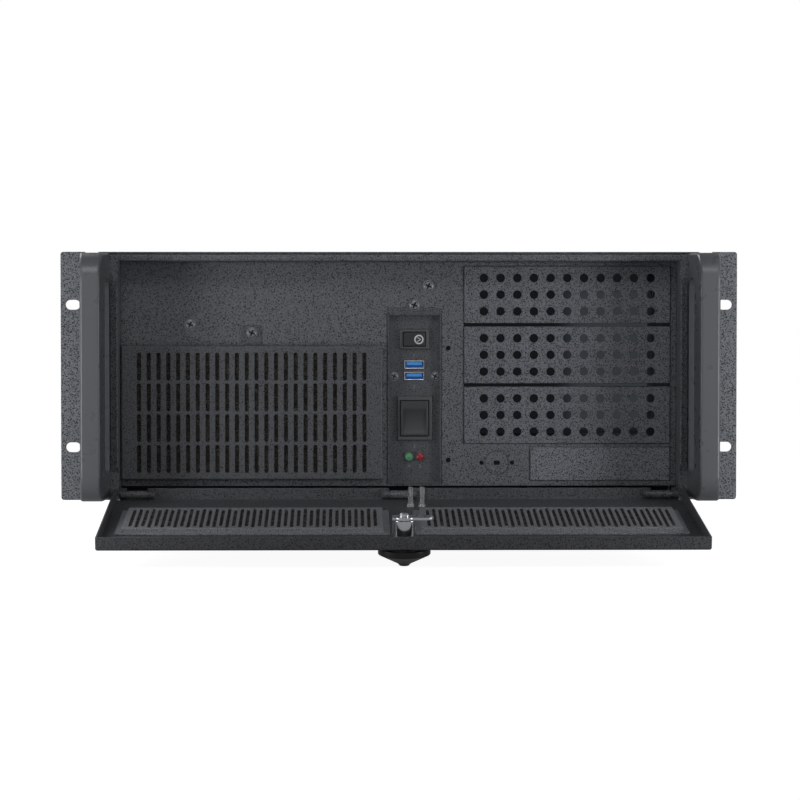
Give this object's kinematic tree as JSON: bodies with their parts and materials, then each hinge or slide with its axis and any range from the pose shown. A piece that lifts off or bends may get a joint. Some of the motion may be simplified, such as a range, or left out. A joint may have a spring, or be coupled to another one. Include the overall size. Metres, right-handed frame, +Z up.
{
  "type": "rackmount server case",
  "caption": "Empty 4U rackmount server case with a hinged lockable filter door, front handles, drive bay covers, switches and front ports.",
  "frame": {"origin": "centre of the four rack slots, on the rear face of the ears", "axes": "+X to the right seen from the front, +Y from the front into the rack, +Z up"},
  "size_m": [0.4826, 0.6305, 0.2109],
  "materials": {
    "shell_paint": "textured powder coat, grey-black with fine dark specks",
    "control_paint": "satin black paint",
    "handle_plastic": "moulded, satin",
    "foam": "open-cell filter foam",
    "screw_steel": "black zinc plated",
    "inner_steel": "zinc-coated sheet",
    "fan_plastic": "moulded",
    "switch_plastic": "moulded, slight gloss",
    "knob_plastic": "moulded",
    "port_steel": "bright nickel plated",
    "port_blue": "moulded",
    "lamp_green": "tinted, unlit",
    "lamp_red": "tinted, unlit",
    "clear_plastic": "clear moulded plastic",
    "lock_chrome": "bright plated zinc",
    "standoff_brass": "turned"
  },
  "bodies": {
    "case": {"base_tray": "shell_paint", "top_cover": "shell_paint", "front_frame": "shell_paint", "inner_panel": "shell_paint", "ear_left": "shell_paint", "ear_right": "shell_paint", "handle_left": "handle_plastic", "handle_right": "handle_plastic", "handle_screws": "screw_steel", "ear_screws": "screw_steel", "panel_screws": "screw_steel", "bay_cover_1": "shell_paint", "bay_cover_2": "shell_paint", "bay_cover_3": "shell_paint", "small_bay_cover": "shell_paint", "drive_cage": "inner_steel", "small_drive_cage": "inner_steel", "filter_cover": "shell_paint", "filter_foam": "foam", "filter_cover_screw": "screw_steel", "fan_frame_1": "fan_plastic", "fan_frame_2": "fan_plastic", "control_panel": "control_paint", "reset_bezel": "switch_plastic", "power_bezel": "switch_plastic", "usb_port_low": "port_steel", "usb_port_high": "port_steel", "usb_tongues": "port_blue", "usb_screws": "screw_steel", "lamp_green": "lamp_green", "lamp_red": "lamp_red", "lamp_holders": "switch_plastic", "hinge_bracket_1": "shell_paint", "hinge_bracket_2": "shell_paint", "hinge_bracket_3": "shell_paint", "card_covers": "inner_steel", "card_rail": "inner_steel", "card_screws": "screw_steel", "supply_shelf": "inner_steel", "crossbar": "inner_steel", "standoffs": "standoff_brass", "cover_screws": "screw_steel"},
    "door": {"door": "shell_paint", "door_filter_frame_left": "shell_paint", "door_filter_frame_right": "shell_paint", "door_foam_left": "foam", "door_foam_right": "foam", "hinge_pins": "screw_steel", "light_pipes": "clear_plastic", "lock_barrel": "lock_chrome", "lock_nut": "lock_chrome"},
    "lock": {"lock_core": "lock_chrome", "lock_cam": "lock_chrome", "cam_screw": "lock_chrome", "lock_knob": "knob_plastic"},
    "reset_switch": {"reset_rocker": "switch_plastic"},
    "power_switch": {"power_paddle": "switch_plastic"},
    "fan_1": {"fan_rotor_1": "fan_plastic"},
    "fan_2": {"fan_rotor_2": "fan_plastic"}
  },
  "joints": [
    {"name": "door_hinge", "type": "hinge", "parent": "case", "child": "door", "pos_m": [0, -0.0065, -0.0844], "axis": [-1, 0, 0], "range_deg": [0, 97.3]},
    {"name": "lock_turn", "type": "hinge", "parent": "door", "child": "lock", "pos_m": [0.0005, -0.15477, -0.09886], "axis": [0, 0.1271, -0.9919], "range_deg": [0, 90]},
    {"name": "reset_press", "type": "hinge", "parent": "case", "child": "reset_switch", "pos_m": [0.0112, 0.022, 0.0259], "axis": [0, 0, -1], "range_deg": [0, 8], "stiffness_Nm_per_rad": 0.02},
    {"name": "power_press", "type": "hinge", "parent": "case", "child": "power_switch", "pos_m": [0.0113, 0.022, -0.0206], "axis": [1, 0, 0], "range_deg": [0, 4], "stiffness_Nm_per_rad": 0.1},
    {"name": "fan_1_spin", "type": "hinge", "parent": "case", "child": "fan_1", "pos_m": [-0.1478, 0.03, -0.02675], "axis": [0, 1, 0], "continuous": true},
    {"name": "fan_2_spin", "type": "hinge", "parent": "case", "child": "fan_2", "pos_m": [-0.0638, 0.03, -0.02675], "axis": [0, 1, 0], "continuous": true}
  ]
}
